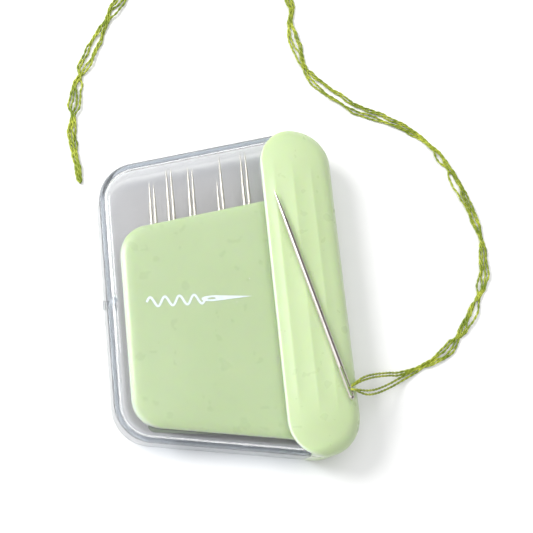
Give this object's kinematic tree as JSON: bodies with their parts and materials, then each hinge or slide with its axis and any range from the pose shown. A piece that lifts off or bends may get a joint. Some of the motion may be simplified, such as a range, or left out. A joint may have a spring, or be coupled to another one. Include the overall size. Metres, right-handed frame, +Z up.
{
  "type": "magnetic sewing needle case",
  "caption": "Flat clear sleeve with a slide-out magnetic drawer that stores sewing needles, and a threaded needle resting on its fluted grip.",
  "frame": {"origin": "on the flat underside of the clear sleeve, on the slide axis of the drawer", "axes": "+Z up from the underside, +X the way the drawer slides out, +Y along the grip"},
  "size_m": [0.0953, 0.1243, 0.016],
  "materials": {
    "clear_plastic": "clear polished plastic",
    "green_plastic": "satin",
    "magnet_sheet": "matt flexible magnet",
    "magnet_bar": "nickel plated",
    "print_ink": "pad-printed ink",
    "needle_steel": "polished nickel plate",
    "floss": "soft mercerised cotton"
  },
  "bodies": {
    "sleeve": {"clear_sleeve": "clear_plastic", "floss_tail": "floss"},
    "drawer": {"drawer_plate": "green_plastic", "plate_magnet_sheet": "magnet_sheet", "printed_mark": "print_ink", "grip_top_shell": "green_plastic", "grip_bottom_shell": "green_plastic", "grip_magnet_bar": "magnet_bar", "floss_lead": "floss"},
    "picked_needle": {"threaded_needle": "needle_steel"},
    "needle_01": {"stored_needle_01": "needle_steel"},
    "needle_02": {"stored_needle_02": "needle_steel"},
    "needle_03": {"stored_needle_03": "needle_steel"},
    "needle_04": {"stored_needle_04": "needle_steel"},
    "needle_05": {"stored_needle_05": "needle_steel"},
    "needle_06": {"stored_needle_06": "needle_steel"},
    "needle_07": {"stored_needle_07": "needle_steel"},
    "needle_08": {"stored_needle_08": "needle_steel"},
    "needle_09": {"stored_needle_09": "needle_steel"},
    "needle_10": {"stored_needle_10": "needle_steel"}
  },
  "joints": [
    {"name": "drawer_slide", "type": "slide", "parent": "sleeve", "child": "drawer", "axis": [1, 0, 0], "range_m": [0, 0.034]},
    {"name": "needle_lift", "type": "slide", "parent": "drawer", "child": "picked_needle", "axis": [0, 0, 1], "range_m": [0, 0.012]},
    {"name": "release_01", "type": "slide", "parent": "drawer", "child": "needle_01", "axis": [0, 0, -1], "range_m": [0, 0.005]},
    {"name": "release_02", "type": "slide", "parent": "drawer", "child": "needle_02", "axis": [0, 0, -1], "range_m": [0, 0.005]},
    {"name": "release_03", "type": "slide", "parent": "drawer", "child": "needle_03", "axis": [0, 0, -1], "range_m": [0, 0.005]},
    {"name": "release_04", "type": "slide", "parent": "drawer", "child": "needle_04", "axis": [0, 0, -1], "range_m": [0, 0.005]},
    {"name": "release_05", "type": "slide", "parent": "drawer", "child": "needle_05", "axis": [0, 0, -1], "range_m": [0, 0.005]},
    {"name": "release_06", "type": "slide", "parent": "drawer", "child": "needle_06", "axis": [0, 0, -1], "range_m": [0, 0.005]},
    {"name": "release_07", "type": "slide", "parent": "drawer", "child": "needle_07", "axis": [0, 0, -1], "range_m": [0, 0.005]},
    {"name": "release_08", "type": "slide", "parent": "drawer", "child": "needle_08", "axis": [0, 0, -1], "range_m": [0, 0.005]},
    {"name": "release_09", "type": "slide", "parent": "drawer", "child": "needle_09", "axis": [0, 0, -1], "range_m": [0, 0.005]},
    {"name": "release_10", "type": "slide", "parent": "drawer", "child": "needle_10", "axis": [0, 0, -1], "range_m": [0, 0.005]}
  ]
}
